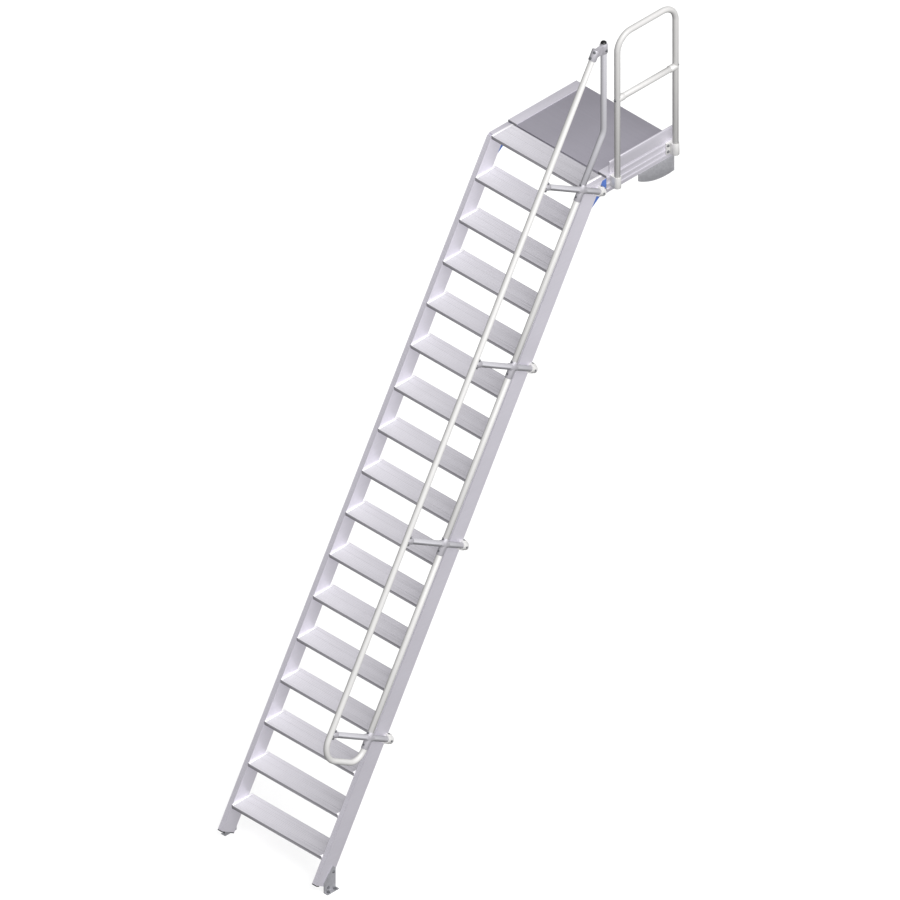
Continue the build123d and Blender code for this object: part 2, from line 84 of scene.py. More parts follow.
# A fold sharper than the first angle is rounded, and one flatter than the second is taken out
EDGE_ANGLE = radians(35)
FLAT_ANGLE = radians(0.5)
# A bolt head's chamfer, as a share of its radius
CHAMFER_SHARE = 0.12
# Three grooves part a stringer's front face into strips
STRINGER_STRIPS = 4


def linear(code):
    """Turns an sRGB hex colour into the linear colour that shader sockets take."""
    channels = [int(code[i:i + 2], 16) / 255 for i in (0, 2, 4)]
    return [c / 12.92 if c <= 0.04045 else ((c + 0.055) / 1.055) ** 2.4 for c in channels]


def colour(name, code, description):
    """A colour value, given as an sRGB hex code."""
    return FloatVectorProperty(
        name=name, description=description, subtype="COLOR", size=3, min=0, max=1, default=linear(code))


def length(name, millimetres, description):
    """A length value, given in millimetres."""
    return FloatProperty(
        name=name, description=description, subtype="DISTANCE", unit="LENGTH", min=0,
        default=millimetres / 1000)


class StairColours(bpy.types.PropertyGroup):
    """Colours of the stair's finishes."""

    ribbed: colour("Ribbed tread", "bfbdc3", "Mill-finish top of the treads")
    end_plate: colour("Tread end plate", "f6f4f8", "Smooth plates over the treads' ends")
    # Painted shade: the treads' front faces turn away from the light, so their colour is drawn darker
    nosing: colour("Tread nosing shade", "a4a2a8", "Painted shade on the treads' front faces")
    extruded: colour("Extruded profile", "d2cfd8", "Stringers, beams and toe board")
    # Painted shade: the grooves on the stringers' front faces are drawn darker, for the shade that falls in
    # them
    groove: colour("Groove shade", "aeacb4", "Painted shade in the grooves of the stringers' front faces")
    deck: colour("Deck", "9f9ca6", "Dull deck panel")
    rail: colour("Rail tube", "cac9c8", "Handrail, knee rail and platform railing")
    post: colour("Post and arm tube", "b3b2b7", "Bent post and the arms")
    cast: colour("Castings", "dcdbda", "Cast clamps, sockets and arm ends")
    fitting: colour("Rail fittings", "b6b4ba", "Four-way fittings, saddles and the post's joint")
    wall_zinc: colour("Zinc-coated steel", "b2b2b7", "Brackets on the wall")
    # Painted shade: the same zinc as the wall brackets, drawn darker for the foot brackets because of how the
    # light falls near the floor
    shaded_foot_zinc: colour("Zinc-coated steel in painted shade", "a2a2a7", "Brackets at the floor")
    bolt: colour("Dull zinc", "7a7b7f", "Bolt heads and washers")
    blue: colour("Blue plastic", "4d6bb0", "Pieces behind the stringers' upper ends")
    grey: colour("Grey plastic", "7c7b80", "Caps on the beams' ends")
    black: colour("Black plastic", "141416", "Caps and plugs")
    floor: colour("Floor", "f4f4f4", "Plain studio floor")


class StairSizes(bpy.types.PropertyGroup):
    """Sizes of the small pieces and of the eased edges."""

    easing: length("Extrusion edge", 0.6, "Rounding of an extruded or sawn edge")
    cast_easing: length("Casting edge", 1.0, "Rounding of a cast or moulded edge")
    bolt_easing: length("Bolt edge", 0.3, "Rounding of a bolt's and a washer's edges")
    tube_radius: length("Tube radius", 20, "Outer radius of every rail tube")
    end_plate_width: length("End plate width", 15, "Width of the smooth plate on a tread's end")
    anchor_across: length("Anchor head", 17, "Across the flats of a floor or wall anchor's head")
    anchor_height: length("Anchor head height", 7, "Height of a floor or wall anchor's head")
    bolt_across: length("Bolt head", 13, "Across the flats of a bolt's head")
    bolt_height: length("Bolt head height", 5.5, "Height of a bolt's head")
    screw_across: length("Screw head", 8, "Across the flats of a casting's screw")
    screw_height: length("Screw head height", 4, "Height of a casting's screw")
    washer_rim: length("Washer rim", 3.5, "How far a washer shows around its head")
    washer_thickness: length("Washer thickness", 1.6, "Thickness of a washer")
    foot_plate: length("Foot bracket plate", 5, "Thickness of the foot bracket's steel")
    foot_hole_inset: length("Floor hole inset", 22, "From each end of the foot bracket to its floor hole")
    low_bolt_back: length("Lower plate bolt, back", 35, "From the foot bracket's front to its lower bolt")
    low_bolt_up: length("Lower plate bolt, up", 30, "From the floor to the foot bracket's lower bolt")
    high_bolt_back: length("Upper plate bolt, back", 82, "From the foot bracket's front to its upper bolt")
    high_bolt_up: length("Upper plate bolt, up", 127, "From the floor to the foot bracket's upper bolt")
    wall_plate: length("Wall bracket plate", 6, "Thickness of the wall bracket's steel")
    wall_hole_inset: length("Wall hole inset", 30, "From each end of the wall flange to its hole")
    wing_bolt_inset: length("Wing bolt inset", 20, "From the top and bottom of a clamp's wing to its bolts")
    wing_bolt_edge: length("Wing bolt edge", 13, "From the free edge of a clamp's wing to its bolts")
    wing_face: length("Wing face", 14, "From a clamp's inner side to its wing's outer face")
    arm_end_wall: length("Arm end wall", 7.2, "Wall of an arm end around its arm")
    arm_end_screw_out: length("Arm end screw, out", 20, "From an arm's tail to the screws of its cast end")
    block_screw_up: length("Arm block screw, up", 32, "From an arm's middle line to the screw on its block")
    block_screw_side: length("Arm block screw, side", 12, "From an arm's middle line in to its block's screw")
    handrail_out: length("Handrail, out", 614, "From an arm's tail to the handrail's middle line")
    saddle_screw_inset: length("Saddle screw inset", 22, "From the handrail's middle line to saddle screws")
    saddle_screw_step: length("Saddle screw step", 24, "From an arm's middle line to a saddle's screws")
    saddle_lug: length("Saddle lug", 13, "From an arm's middle line to the side of a saddle's lug")
    fitting_wall: length("Fitting wall", 3.2, "Wall of a four-way fitting around the knee rail")
    fitting_out: length("Fitting, out", 225, "From an arm's tail to the knee rail's middle line")
    fitting_screw_up: length(
        "Fitting screw, up", 31, "From an arm's middle line to a fitting's upper screw")
    fitting_screw_down: length(
        "Fitting screw, down", 50, "From an arm's middle line to a fitting's lower screw")
    joint_wall: length("Joint wall", 5.5, "Wall of the post's joint around a tube")
    sleeve_bolt_near: length("Sleeve bolt, near", 12, "From the handrail's upper end to the nearer bolt")
    sleeve_bolt_far: length("Sleeve bolt, far", 56, "From the handrail's upper end to the farther bolt")
    collar_bolt_down: length("Collar bolt, down", 40, "From the top of the post's joint to its collar's bolt")


class StairStudio(bpy.types.PropertyGroup):
    """View and light of the studio."""

    azimuth: FloatProperty(
        name="View azimuth", description="Turn of the view from straight ahead to the right",
        subtype="ANGLE", unit="ROTATION", default=radians(45))
    elevation: FloatProperty(
        name="View elevation", description="Height angle of the view",
        subtype="ANGLE", unit="ROTATION", default=radians(35.264))
    frame_width: FloatProperty(
        name="Frame width", description="How much the picture shows from side to side",
        subtype="DISTANCE", unit="LENGTH", min=0, default=5.66)
    aim: FloatVectorProperty(
        name="Aim", description="Point in the middle of the picture",
        subtype="TRANSLATION", unit="LENGTH", size=3, default=(-0.0037, -1.5550, -1.7952))
    surroundings: FloatProperty(
        name="Surroundings", description="Strength of the even light from all around", min=0, default=0.27)
    light_from: FloatVectorProperty(
        name="Light from", description="Where the studio's main light comes from",
        subtype="DIRECTION", size=3, default=(0.66, -0.18, 0.73))
    fill: FloatProperty(
        name="Fill", description="Strength of the light that throws no shadow", min=0, default=3.6)
    key: FloatProperty(
        name="Key", description="Strength of the light that throws soft shadows", min=0, default=0.8)
    light_width: FloatProperty(
        name="Light width", description="Angle that a light fills, for soft shadows",
        subtype="ANGLE", unit="ROTATION", default=radians(40))
    floor_size: FloatProperty(
        name="Floor size", description="Side of the floor",
        subtype="DISTANCE", unit="LENGTH", min=1, default=80)


def add(tree, kind, inputs=None, **settings):
    """Adds a node, with its settings and with each input set to a value or linked from a socket."""
    node = tree.nodes.new(kind)
    for name, value in settings.items():
        setattr(node, name, value)
    for name, value in (inputs or {}).items():
        if isinstance(value, bpy.types.NodeSocket):
            tree.links.new(value, node.inputs[name])
        else:
            node.inputs[name].default_value = value
    return node


def spread(tree, source, low, high):
    """Maps a pattern's middle range to values from low to high."""
    inputs = {"Value": source, "From Min": 0.25, "From Max": 0.75, "To Min": low, "To Max": high}
    return add(tree, "ShaderNodeMapRange", inputs).outputs["Result"]


def start_finish(name):
    """A material with an empty tree, and its object coordinates in metres."""
    material = bpy.data.materials.new(name)
    material.use_nodes = True
    tree = material.node_tree
    tree.nodes.clear()
    return material, tree, add(tree, "ShaderNodeTexCoord").outputs["Object"]


def end_finish(
        tree, base, shade, height, *, shade_spread, roughness, roughness_spread, relief_depth, **sockets):
    """Links colour, roughness and relief to the shader, which gets its plain values from sockets."""
    tinted = add(tree, "ShaderNodeHueSaturation", {
        "Color": base, "Value": spread(tree, shade, 1 - shade_spread, 1 + shade_spread)}).outputs["Color"]
    rough = spread(tree, shade, roughness - roughness_spread, roughness + roughness_spread)
    relief = add(tree, "ShaderNodeBump", {"Height": height, "Distance": relief_depth, "Strength": 1.0})
    inputs = {"Base Color": tinted, "Roughness": rough, "Normal": relief.outputs["Normal"]}
    inputs.update(sockets)
    shader = add(tree, "ShaderNodeBsdfPrincipled", inputs)
    add(tree, "ShaderNodeOutputMaterial", {"Surface": shader.outputs["BSDF"]})


def noise(tree, vector, size, detail=2.0):
    """Cloudy pattern whose patches are about one size wide, in metres."""
    inputs = {"Vector": vector, "Scale": 1 / size, "Detail": detail}
    return add(tree, "ShaderNodeTexNoise", inputs).outputs["Fac"]


def lines_along(tree, coords, turn, axis, width):
    """Fine lines of one width along an axis, 0 for X or 1 for Y, after a turn about X."""
    # Each line is a hundred times as long as it is wide
    squeeze = [1.0, 1.0, 1.0]
    squeeze[axis] = 0.01
    turned = add(tree, "ShaderNodeMapping", {
        "Vector": coords, "Rotation": (-turn, 0, 0), "Scale": squeeze}, vector_type="POINT")
    return noise(tree, turned.outputs["Vector"], width)


def mixed(tree, first, second, share):
    """Two patterns in one, with a share of the second."""
    return add(tree, "ShaderNodeMix", {0: share, 2: first, 3: second}, data_type="FLOAT").outputs[0]


def rgba(value):
    """A colour value with full cover, as colour sockets take it."""
    return (*value, 1.0)


def arithmetic(tree, operation, first, second=0.0):
    """One step of arithmetic on sockets or values."""
    return add(tree, "ShaderNodeMath", {0: first, 1: second}, operation=operation).outputs["Value"]


def tinted_where(tree, mask, base, tint):
    """The base colour, with a tint where the mask is 1."""
    return add(tree, "ShaderNodeMix", {0: mask, 6: base, 7: tint}, data_type="RGBA").outputs[2]


def side_distance(tree, coords):
    """How far out to either side of the stair's middle, in metres."""
    across = add(tree, "ShaderNodeSeparateXYZ", {"Vector": coords}).outputs["X"]
    return arithmetic(tree, "ABSOLUTE", across)


def faces_climber(tree, limit):
    """Is 1 on faces whose normal leans towards the climber by more than the limit."""
    normal = add(tree, "ShaderNodeTexCoord").outputs["Normal"]
    ahead = add(tree, "ShaderNodeSeparateXYZ", {"Vector": normal}).outputs["Y"]
    return arithmetic(tree, "LESS_THAN", ahead, -limit)


def grooved_aluminium(name, value, groove_shade_value, turn, inner, pitch):
    """Mill-finish stringer profile: its front face has fine grooves, a pitch apart, drawn darker as painted
    shade.
    """
    material, tree, coords = start_finish(name)
    lines = lines_along(tree, coords, turn, axis=1, width=0.006)
    clouds = noise(tree, coords, size=0.35, detail=3.0)
    shade = mixed(tree, lines, clouds, share=0.5)
    # A groove is 2.4 mm wide; the painted shade in it is drawn 3.2 mm wide
    half_width = 0.0016
    from_inner = arithmetic(tree, "SUBTRACT", side_distance(tree, coords), inner)
    from_groove = arithmetic(tree, "PINGPONG", from_inner, pitch / 2)
    in_groove = arithmetic(tree, "LESS_THAN", from_groove, half_width)
    # Painted shade, only on faces leaning towards the climber
    mask = arithmetic(tree, "MULTIPLY", in_groove, faces_climber(tree, limit=0.5))
    base = tinted_where(tree, mask, rgba(value), rgba(groove_shade_value))
    end_finish(
        tree, base, shade, lines, shade_spread=0.05, roughness=0.42, roughness_spread=0.06,
        relief_depth=0.00006, Metallic=0.35)
    return material


def extruded_aluminium(name, value, turn, axis, roughness=0.42, shade_spread=0.05):
    """Mill-finish aluminium profile as it leaves the die: dull silver with faint lines along its length."""
    material, tree, coords = start_finish(name)
    # Die lines are about 0.3 mm apart; drawn 6 mm wide so that they show at the picture's scale
    lines = lines_along(tree, coords, turn, axis, width=0.006)
    clouds = noise(tree, coords, size=0.35, detail=3.0)
    shade = mixed(tree, lines, clouds, share=0.5)
    end_finish(
        tree, rgba(value), shade, lines, shade_spread=shade_spread, roughness=roughness,
        roughness_spread=0.06, relief_depth=0.00006, Metallic=0.35)
    return material


def ribbed_aluminium(name, value, plate_value, nosing_shade_value, plate_start):
    """Ribbed mill-finish tread, with painted shade on the faces towards the climber, and a smooth brighter
    plate from plate_start out.
    """
    material, tree, coords = start_finish(name)
    # The ribs are solids; the lines are the die's, 0.3 mm apart and drawn 6 mm wide
    lines = lines_along(tree, coords, turn=0, axis=0, width=0.006)
    clouds = noise(tree, coords, size=0.25, detail=3.0)
    shade = mixed(tree, lines, clouds, share=0.4)
    on_plate = arithmetic(tree, "GREATER_THAN", side_distance(tree, coords), plate_start)
    top = tinted_where(tree, on_plate, rgba(value), rgba(plate_value))
    # Painted shade: faces leaning towards the climber get the darker nosing colour, standing in for the shade
    # the light leaves there
    base = tinted_where(tree, faces_climber(tree, limit=0.8), top, rgba(nosing_shade_value))
    dull = {"Metallic": 0.12, "Specular IOR Level": 0.25}
    end_finish(
        tree, base, shade, lines, shade_spread=0.05, roughness=0.55, roughness_spread=0.06,
        relief_depth=0.00008, **dull)
    return material


def satin_tube(name, value):
    """Satin anodised tube: very pale, even and silky, with a fine grain under the fingers."""
    material, tree, coords = start_finish(name)
    # The etched grain is finer than 0.1 mm; drawn 5 mm wide, and faint
    grain = noise(tree, coords, size=0.005)
    clouds = noise(tree, coords, size=0.2, detail=3.0)
    shade = mixed(tree, grain, clouds, share=0.6)
    silky = {"Metallic": 0.05, "Specular IOR Level": 0.15}
    end_finish(
        tree, rgba(value), shade, grain, shade_spread=0.025, roughness=0.5, roughness_spread=0.04,
        relief_depth=0.00004, **silky)
    return material


def cast_aluminium(name, value):
    """Sand-cast and tumbled aluminium: light grey with a soft pitted skin."""
    material, tree, coords = start_finish(name)
    # Sand grains of 0.5 mm; drawn 3 mm wide
    grain = noise(tree, coords, size=0.003, detail=3.0)
    clouds = noise(tree, coords, size=0.06)
    shade = mixed(tree, grain, clouds, share=0.5)
    end_finish(
        tree, rgba(value), shade, grain, shade_spread=0.07, roughness=0.5, roughness_spread=0.08,
        relief_depth=0.0002, Metallic=0.3)
    return material


def zinc_coat(name, value, flake=0.012, metallic=0.45):
    """Hot-dip or plated zinc on steel: grey, with crystals that differ a little in tone."""
    material, tree, coords = start_finish(name)
    # Crystals are drawn at their real width, 12 mm on a bracket and 5 mm on a bolt
    cells = add(tree, "ShaderNodeTexVoronoi", {"Vector": coords, "Scale": 1 / flake})
    tone = add(tree, "ShaderNodeSeparateColor", {"Color": cells.outputs["Color"]}).outputs["Red"]
    grain = noise(tree, coords, size=0.004)
    shade = mixed(tree, tone, grain, share=0.4)
    end_finish(
        tree, rgba(value), shade, grain, shade_spread=0.07, roughness=0.48, roughness_spread=0.08,
        relief_depth=0.00008, Metallic=metallic)
    return material


def moulded_plastic(name, value, roughness):
    """Moulded plastic: even colour, a spark-eroded grain and a low sheen."""
    material, tree, coords = start_finish(name)
    # Mould grain of 0.2 mm; drawn 2 mm wide
    grain = noise(tree, coords, size=0.002)
    clouds = noise(tree, coords, size=0.05)
    shade = mixed(tree, grain, clouds, share=0.5)
    end_finish(
        tree, rgba(value), shade, grain, shade_spread=0.06, roughness=roughness, roughness_spread=0.06,
        relief_depth=0.00008, Metallic=0.0)
    return material


def painted_floor(name, value):
    """Plain matt studio floor."""
    material, tree, coords = start_finish(name)
    clouds = noise(tree, coords, size=1.5, detail=3.0)
    end_finish(
        tree, rgba(value), clouds, clouds, shade_spread=0.01, roughness=0.8, roughness_spread=0.02,
        relief_depth=0.0001, Metallic=0.0)
    return material


def link(piece):
    """Puts an object into the scene and gives it back."""
    bpy.context.scene.collection.objects.link(piece)
    return piece


def keep_piece(name, mesh, material):
    """Turns a finished bmesh into a piece of the stair, in the stair's own frame."""
    data = bpy.data.meshes.new(name)
    mesh.to_mesh(data)
    mesh.free()
    data.materials.append(material)
    piece = link(bpy.data.objects.new(name, data))
    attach(piece, BODY)
    return piece


def ease_edges(piece, width, segments):
    """Rounds every real edge of a piece a little, and shades the rest smooth."""
    piece.data.shade_smooth()
    bevel = piece.modifiers.new("eased edges", "BEVEL")
    bevel.width = width
    bevel.segments = segments
    bevel.limit_method = "ANGLE"
    bevel.angle_limit = EDGE_ANGLE
    bevel.harden_normals = True


def eased_copy(node, material, width, segments=2):
    """Stands a merged copy of a CAD piece, with eased edges, in its place."""
    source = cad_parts[node]
    mesh = bmesh.new()
    mesh.from_mesh(source.data)
    bmesh.ops.remove_doubles(mesh, verts=mesh.verts, dist=MERGE_DISTANCE)
    bmesh.ops.dissolve_limit(mesh, angle_limit=FLAT_ANGLE, verts=mesh.verts, edges=mesh.edges)
    piece = keep_piece(f"{node}.eased", mesh, material)
    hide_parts(node)
    ease_edges(piece, width, segments)


def standing_on(place, axis):
    """Matrix that moves a shape from the origin to a place, with its Z along an axis."""
    return Matrix.Translation(place) @ axis.to_track_quat("Z", "Y").to_matrix().to_4x4()


def add_bolt(mesh, place, axis, across, height, sizes):
    """Adds a hexagon head on its washer, seated at a place and pointing along an axis."""
    seat = standing_on(place, axis)
    washer = across / 2 + sizes.washer_rim
    lift = Matrix.Translation((0, 0, sizes.washer_thickness / 2))
    bmesh.ops.create_cone(
        mesh, cap_ends=True, segments=24, radius1=washer, radius2=washer,
        depth=sizes.washer_thickness, matrix=seat @ lift)
    # A hexagon's corners lie farther out than its flats
    corner = across / 2 / cos(radians(30))
    lift = Matrix.Translation((0, 0, sizes.washer_thickness + height / 2))
    made = bmesh.ops.create_cone(
        mesh, cap_ends=True, segments=6, radius1=corner, radius2=corner, depth=height, matrix=seat @ lift)
    faces = {face for vertex in made["verts"] for face in vertex.link_faces}
    top = max(faces, key=lambda face: face.calc_center_median().dot(axis))
    bmesh.ops.inset_individual(
        mesh, faces=[top], thickness=corner * CHAMFER_SHARE, depth=height * CHAMFER_SHARE)


def bolt_group(name, places, axis, across, height, sizes, material):
    """One piece with a bolt at each place, all pointing the same way."""
    mesh = bmesh.new()
    for place in places:
        add_bolt(mesh, Vector(place), axis, across, height, sizes)
    piece = keep_piece(name, mesh, material)
    ease_edges(piece, sizes.bolt_easing, 1)


def arm_point(arm, out, sizes):
    """A point on an arm's middle line, so far out from its tail, the end behind the stringer."""
    low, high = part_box(arm)
    radius = sizes.tube_radius
    tail = Vector(((low.x + high.x) / 2, high.y - radius * UP_SLOPE.y, low.z + radius * UP_SLOPE.z))
    return tail + OUT_SLOPE * out


class StairOperator:
    """What the stair's operators share."""

    bl_options = {"REGISTER", "UNDO"}

    @classmethod
    def poll(cls, context):
        return context.scene is not None


class STAIR_OT_treads(StairOperator, bpy.types.Operator):
    """Finish the ribbed treads"""

    bl_idname = "stair.treads"
    bl_label = "Treads"

    def execute(self, context):
        colours = context.scene.stair_colours
        sizes = context.scene.stair_sizes
        plate_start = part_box(TREADS[0])[1].x - sizes.end_plate_width
        metal = ribbed_aluminium(
            "Ribbed mill-finish aluminium", colours.ribbed, colours.end_plate, colours.nosing, plate_start)
        for tread in TREADS:
            eased_copy(tread, metal, sizes.easing, 1)
        return {"FINISHED"}


class STAIR_OT_stringers(StairOperator, bpy.types.Operator):
    """Finish the stringers with their caps"""

    bl_idname = "stair.stringers"
    bl_label = "Stringers"

    def execute(self, context):
        colours = context.scene.stair_colours
        sizes = context.scene.stair_sizes
        turn = UP_SLOPE.angle(TO_WALL)
        low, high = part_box("stringer_right")
        pitch = (high.x - low.x) / STRINGER_STRIPS
        profile = grooved_aluminium(
            "Mill-finish stringer profile", colours.extruded, colours.groove, turn, low.x, pitch)
        cap = extruded_aluminium("Mill-finish cap", colours.extruded, turn, 1)
        for side, _ in SIDES:
            eased_copy(f"stringer_{side}", profile, sizes.easing)
        eased_copy("stringer_top_caps", cap, sizes.easing)
        return {"FINISHED"}


class STAIR_OT_platform(StairOperator, bpy.types.Operator):
    """Finish the platform's beams, deck and toe board"""

    bl_idname = "stair.platform"
    bl_label = "Platform"

    def execute(self, context):
        colours = context.scene.stair_colours
        sizes = context.scene.stair_sizes
        lengthwise = extruded_aluminium("Mill-finish beam profile", colours.extruded, 0, 1)
        crosswise = extruded_aluminium("Mill-finish cross beam profile", colours.extruded, 0, 0)
        deck = extruded_aluminium("Dull deck profile", colours.deck, 0, 0, roughness=0.55, shade_spread=0.06)
        for node in ("side_beam_right", "side_beam_left", "toe_board"):
            eased_copy(node, lengthwise, sizes.easing)
        for node in ("front_beam", "rear_beam"):
            eased_copy(node, crosswise, sizes.easing)
        eased_copy("deck", deck, sizes.easing)
        return {"FINISHED"}


class STAIR_OT_brackets(StairOperator, bpy.types.Operator):
    """Finish the foot and wall brackets and bolt them on"""

    bl_idname = "stair.brackets"
    bl_label = "Brackets"

    def execute(self, context):
        colours = context.scene.stair_colours
        sizes = context.scene.stair_sizes
        wall_coat = zinc_coat("Hot-dip zinc on steel", colours.wall_zinc)
        # Painted shade: the foot brackets get a darker copy of the wall brackets' zinc
        shaded_foot_coat = zinc_coat("Hot-dip zinc on steel, painted shade", colours.shaded_foot_zinc)
        zinc = zinc_coat("Dull zinc bolts", colours.bolt, flake=0.005, metallic=0.6)
        for side, way in SIDES:
            foot = f"foot_bracket_{side}"
            wall = f"wall_bracket_{side}"
            eased_copy(foot, shaded_foot_coat, sizes.easing)
            eased_copy(wall, wall_coat, sizes.easing)
            self.foot_bolts(foot, side, way, sizes, zinc)
            self.wall_bolts(wall, side, way, sizes, zinc)
        return {"FINISHED"}

    def foot_bolts(self, foot, side, way, sizes, zinc):
        """Two anchors through the flange and two bolts through the plate."""
        low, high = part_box(foot)
        plate = sizes.foot_plate
        outer, inner = (high.x, low.x) if way > 0 else (low.x, high.x)
        middle = (outer + inner + way * plate) / 2
        holes = (low.y + sizes.foot_hole_inset, high.y - sizes.foot_hole_inset)
        anchors = [(middle, y, low.z + plate) for y in holes]
        bolt_group(
            f"floor_anchors_{side}", anchors, UPWARDS, sizes.anchor_across, sizes.anchor_height, sizes, zinc)
        face = inner + way * plate
        lower = (face, low.y + sizes.low_bolt_back, low.z + sizes.low_bolt_up)
        upper = (face, low.y + sizes.high_bolt_back, low.z + sizes.high_bolt_up)
        bolt_group(
            f"foot_plate_bolts_{side}", [lower, upper], RIGHT * way, sizes.bolt_across, sizes.bolt_height,
            sizes, zinc)

    def wall_bolts(self, wall, side, way, sizes, zinc):
        """Two anchors through the flange on the wall."""
        low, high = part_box(wall)
        plate = sizes.wall_plate
        outer, inner = (high.x, low.x) if way > 0 else (low.x, high.x)
        middle = (outer - way * plate + inner) / 2
        heights = (low.z + sizes.wall_hole_inset, high.z - sizes.wall_hole_inset)
        places = [(middle, high.y - plate, z) for z in heights]
        bolt_group(
            f"wall_anchors_{side}", places, -TO_WALL, sizes.anchor_across, sizes.anchor_height, sizes, zinc)


class STAIR_OT_rails(StairOperator, bpy.types.Operator):
    """Finish the tubes of the handrail, the knee rail and the platform railing"""

    bl_idname = "stair.rails"
    bl_label = "Rails"

    def execute(self, context):
        colours = context.scene.stair_colours
        sizes = context.scene.stair_sizes
        rail = satin_tube("Satin anodised rail tube", colours.rail)
        post = satin_tube("Grey anodised post tube", colours.post)
        for nodes, metal in (
                (["handrail", "knee_rail", "platform_rail", "mid_rail"], rail),
                (ARMS + ["top_post"], post)):
            for node in nodes:
                eased_copy(node, metal, sizes.easing, 1)
        return {"FINISHED"}


class STAIR_OT_rail_fittings(StairOperator, bpy.types.Operator):
    """Finish the rails' cast fittings and bolt them on"""

    bl_idname = "stair.rail_fittings"
    bl_label = "Rail fittings"

    def execute(self, context):
        colours = context.scene.stair_colours
        sizes = context.scene.stair_sizes
        pale = cast_aluminium("Tumbled cast aluminium", colours.cast)
        grey = cast_aluminium("Tumbled grey cast aluminium", colours.fitting)
        zinc = zinc_coat("Dull zinc rail bolts", colours.bolt, flake=0.005, metallic=0.6)
        for nodes, metal in (
                (("cross_fittings", "handrail_saddles", "post_joint"), grey),
                (("arm_ends", "mid_rail_sockets", "rail_clamp_front", "rail_clamp_rear"), pale)):
            for node in nodes:
                eased_copy(node, metal, sizes.cast_easing)
        self.clamp_bolts(sizes, zinc)
        self.arm_screws(sizes, zinc)
        self.post_bolts(sizes, zinc)
        self.socket_bolts(sizes, zinc)
        return {"FINISHED"}

    def clamp_bolts(self, sizes, zinc):
        """Two bolts through the wing of each clamp on the railing's legs."""
        for place, way in (("front", 1), ("rear", -1)):
            low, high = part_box(f"rail_clamp_{place}")
            wing_end = high.y if way > 0 else low.y
            y = wing_end - way * sizes.wing_bolt_edge
            heights = (low.z + sizes.wing_bolt_inset, high.z - sizes.wing_bolt_inset)
            places = [(low.x + sizes.wing_face, y, z) for z in heights]
            bolt_group(
                f"rail_clamp_bolts_{place}", places, RIGHT, sizes.bolt_across, sizes.bolt_height, sizes, zinc)

    def arm_screws(self, sizes, zinc):
        """Small screws in the castings along each arm."""
        ends, blocks, saddles, fittings = [], [], [], []
        barrel = RIGHT * (sizes.tube_radius + sizes.arm_end_wall)
        block = UP_SLOPE * sizes.block_screw_up - RIGHT * sizes.block_screw_side
        saddle_step = UP_SLOPE * sizes.saddle_screw_step
        saddle_out = sizes.handrail_out - sizes.saddle_screw_inset
        sleeve = OUT_SLOPE * (sizes.tube_radius + sizes.fitting_wall)
        for arm in ARMS:
            tail = arm_point(arm, sizes.arm_end_screw_out, sizes)
            ends.append(tail + barrel)
            blocks.append(tail + block)
            saddle = arm_point(arm, saddle_out, sizes) + RIGHT * sizes.saddle_lug
            saddles += [saddle + saddle_step, saddle - saddle_step]
            front = arm_point(arm, sizes.fitting_out, sizes) + sleeve
            fittings.append(front + UP_SLOPE * sizes.fitting_screw_up)
            fittings.append(front - UP_SLOPE * sizes.fitting_screw_down)
        for name, places, axis in (
                ("arm_end_screws", ends, RIGHT), ("arm_block_screws", blocks, UP_SLOPE),
                ("saddle_screws", saddles, RIGHT), ("fitting_screws", fittings, OUT_SLOPE)):
            bolt_group(name, places, axis, sizes.screw_across, sizes.screw_height, sizes, zinc)

    def post_bolts(self, sizes, zinc):
        """Bolts in the joint of the handrail and the post: two in its sleeve and one in its collar."""
        low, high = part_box("post_joint")
        middle = (low.x + high.x) / 2
        radius = sizes.tube_radius
        wall = radius + sizes.joint_wall
        rail_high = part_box("handrail")[1]
        rail_end = Vector((middle, rail_high.y - radius * UP_SLOPE.z, rail_high.z - radius * UP_SLOPE.y))
        post_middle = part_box("top_post")[1].y - radius
        upper = rail_end - UP_SLOPE * sizes.sleeve_bolt_near
        lower = rail_end - UP_SLOPE * sizes.sleeve_bolt_far
        collar = Vector((middle, post_middle, high.z - sizes.collar_bolt_down))
        # The upper bolt is turned from the sleeve's front towards its right side
        turned = (OUT_SLOPE + RIGHT / 2).normalized()
        for name, on_axis, axis in (
                ("sleeve_bolt_upper", upper, turned),
                ("sleeve_bolt_lower", lower, OUT_SLOPE),
                ("collar_bolt", collar, RIGHT)):
            bolt_group(
                name, [on_axis + axis * wall], axis, sizes.bolt_across, sizes.bolt_height, sizes, zinc)

    def socket_bolts(self, sizes, zinc):
        """A bolt through each leg of the platform railing into the middle rail's socket."""
        socket_low, socket_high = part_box("mid_rail_sockets")
        low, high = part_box("platform_rail")
        middle = (low.x + high.x) / 2
        z = (socket_low.z + socket_high.z) / 2
        for place, y, axis in (("front", low.y, -TO_WALL), ("rear", high.y, TO_WALL)):
            bolt_group(
                f"socket_bolt_{place}", [(middle, y, z)], axis, sizes.bolt_across, sizes.bolt_height,
                sizes, zinc)


class STAIR_OT_plastic_pieces(StairOperator, bpy.types.Operator):
    """Finish the blue joint pieces and the grey and black caps and plugs"""

    bl_idname = "stair.plastic_pieces"
    bl_label = "Plastic pieces"

    def execute(self, context):
        colours = context.scene.stair_colours
        sizes = context.scene.stair_sizes
        blue = moulded_plastic("Blue moulded polyamide", colours.blue, 0.5)
        grey = moulded_plastic("Grey moulded polyamide", colours.grey, 0.5)
        black = moulded_plastic("Black moulded polyethylene", colours.black, 0.45)
        for side, _ in SIDES:
            eased_copy(f"joint_wedge_{side}", blue, sizes.cast_easing)
        eased_copy("side_beam_caps", grey, sizes.easing)
        for node in ("stringer_foot_plugs", "top_post_cap", "rail_leg_plugs"):
            eased_copy(node, black, sizes.easing)
        return {"FINISHED"}


